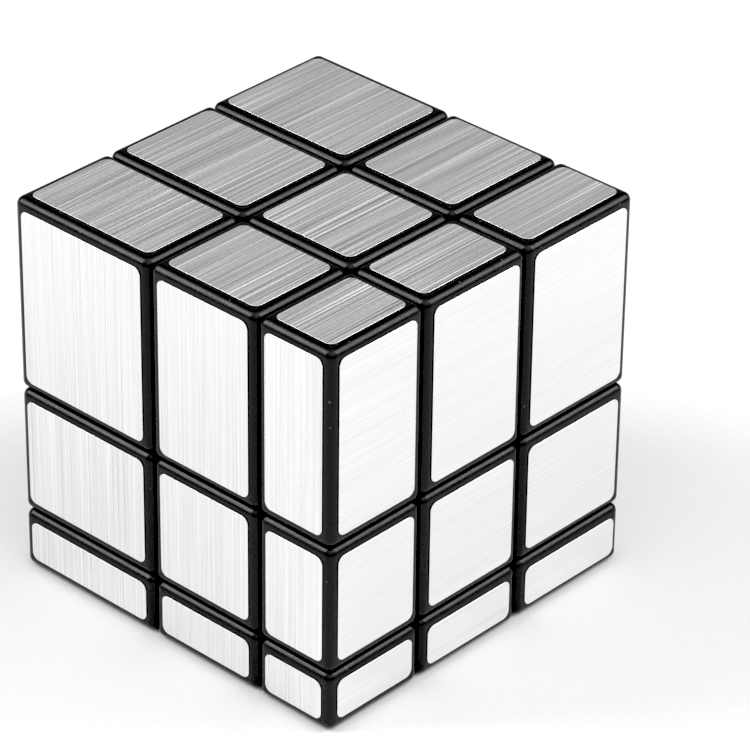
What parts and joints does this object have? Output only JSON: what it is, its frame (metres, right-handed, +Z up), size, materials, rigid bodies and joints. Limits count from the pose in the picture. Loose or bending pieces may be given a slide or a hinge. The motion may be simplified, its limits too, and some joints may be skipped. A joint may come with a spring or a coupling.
{
  "type": "mirror block puzzle cube",
  "caption": "Turning puzzle cube of black plastic blocks in differing sizes, faced with brushed silver foil; layers turn on a six-armed core.",
  "frame": {"origin": "middle of the bottom face, at the level it stands on", "axes": "+Z up; +X towards the thinnest side layer, -Y towards the front, both square to the faces"},
  "size_m": [0.057, 0.057, 0.057],
  "materials": {
    "shell_plastic": "satin moulded ABS, near black",
    "foot_plastic": "plain moulded ABS, near black",
    "core_plastic": "plain moulded nylon, dark grey",
    "foil": "brushed silver metallised foil",
    "zinc_steel": "bright zinc plate",
    "spring_steel": "drawn spring wire"
  },
  "bodies": {
    "core_and_middle_edges": {"core": "core_plastic", "screws": "zinc_steel", "washers": "zinc_steel", "spring_right": "spring_steel", "spring_left": "spring_steel", "spring_back": "spring_steel", "spring_front": "spring_steel", "spring_top": "spring_steel", "spring_bottom": "spring_steel", "edge_front_left_shell": "shell_plastic", "edge_front_left_foot": "foot_plastic", "edge_back_left_shell": "shell_plastic", "edge_back_left_foot": "foot_plastic", "edge_front_right_shell": "shell_plastic", "edge_front_right_foot": "foot_plastic", "edge_back_right_shell": "shell_plastic", "edge_back_right_foot": "foot_plastic", "foils_middle": "foil"},
    "top_layer": {"corner_top_front_left_shell": "shell_plastic", "edge_top_left_shell": "shell_plastic", "corner_top_back_left_shell": "shell_plastic", "edge_top_front_shell": "shell_plastic", "edge_top_back_shell": "shell_plastic", "corner_top_front_right_shell": "shell_plastic", "edge_top_right_shell": "shell_plastic", "corner_top_back_right_shell": "shell_plastic", "corner_feet_top": "foot_plastic", "edge_feet_top": "foot_plastic", "foils_top": "foil"},
    "bottom_layer": {"corner_bottom_front_left_shell": "shell_plastic", "edge_bottom_left_shell": "shell_plastic", "corner_bottom_back_left_shell": "shell_plastic", "edge_bottom_front_shell": "shell_plastic", "edge_bottom_back_shell": "shell_plastic", "corner_bottom_front_right_shell": "shell_plastic", "edge_bottom_right_shell": "shell_plastic", "corner_bottom_back_right_shell": "shell_plastic", "corner_feet_bottom": "foot_plastic", "edge_feet_bottom": "foot_plastic", "foils_bottom_sides": "foil", "foils_bottom_under": "foil"},
    "right_centre": {"centre_right_body": "shell_plastic", "centre_right_cap": "shell_plastic", "centre_right_foil": "foil"},
    "left_centre": {"centre_left_body": "shell_plastic", "centre_left_cap": "shell_plastic", "centre_left_foil": "foil"},
    "back_centre": {"centre_back_body": "shell_plastic", "centre_back_cap": "shell_plastic", "centre_back_foil": "foil"},
    "front_centre": {"centre_front_body": "shell_plastic", "centre_front_cap": "shell_plastic", "centre_front_foil": "foil"},
    "top_centre": {"centre_top_body": "shell_plastic", "centre_top_cap": "shell_plastic", "centre_top_foil": "foil"},
    "bottom_centre": {"centre_bottom_body": "shell_plastic", "centre_bottom_cap": "shell_plastic", "centre_bottom_foil": "foil"}
  },
  "joints": [
    {"name": "top_layer_turn", "type": "hinge", "parent": "core_and_middle_edges", "child": "top_layer", "pos_m": [0.006, -0.002, 0.0185], "axis": [0, 0, 1], "continuous": true},
    {"name": "bottom_layer_turn", "type": "hinge", "parent": "core_and_middle_edges", "child": "bottom_layer", "pos_m": [0.006, -0.002, 0.0185], "axis": [0, 0, -1], "continuous": true},
    {"name": "right_centre_lift", "type": "slide", "parent": "core_and_middle_edges", "child": "right_centre", "axis": [1, 0, 0], "range_m": [0, 0.001], "stiffness_N_per_m": 1000, "springref_m": -0.0003, "deforming": ["spring_right"]},
    {"name": "left_centre_lift", "type": "slide", "parent": "core_and_middle_edges", "child": "left_centre", "axis": [-1, 0, 0], "range_m": [0, 0.001], "stiffness_N_per_m": 1000, "springref_m": -0.0003, "deforming": ["spring_left"]},
    {"name": "back_centre_lift", "type": "slide", "parent": "core_and_middle_edges", "child": "back_centre", "axis": [0, 1, 0], "range_m": [0, 0.001], "stiffness_N_per_m": 1000, "springref_m": -0.0003, "deforming": ["spring_back"]},
    {"name": "front_centre_lift", "type": "slide", "parent": "core_and_middle_edges", "child": "front_centre", "axis": [0, -1, 0], "range_m": [0, 0.001], "stiffness_N_per_m": 1000, "springref_m": -0.0003, "deforming": ["spring_front"]},
    {"name": "top_centre_lift", "type": "slide", "parent": "top_layer", "child": "top_centre", "axis": [0, 0, 1], "range_m": [0, 0.001], "stiffness_N_per_m": 1000, "springref_m": -0.0003, "deforming": ["spring_top"]},
    {"name": "bottom_centre_lift", "type": "slide", "parent": "bottom_layer", "child": "bottom_centre", "axis": [0, 0, -1], "range_m": [0, 0.001], "stiffness_N_per_m": 1000, "springref_m": -0.0003, "deforming": ["spring_bottom"]}
  ]
}
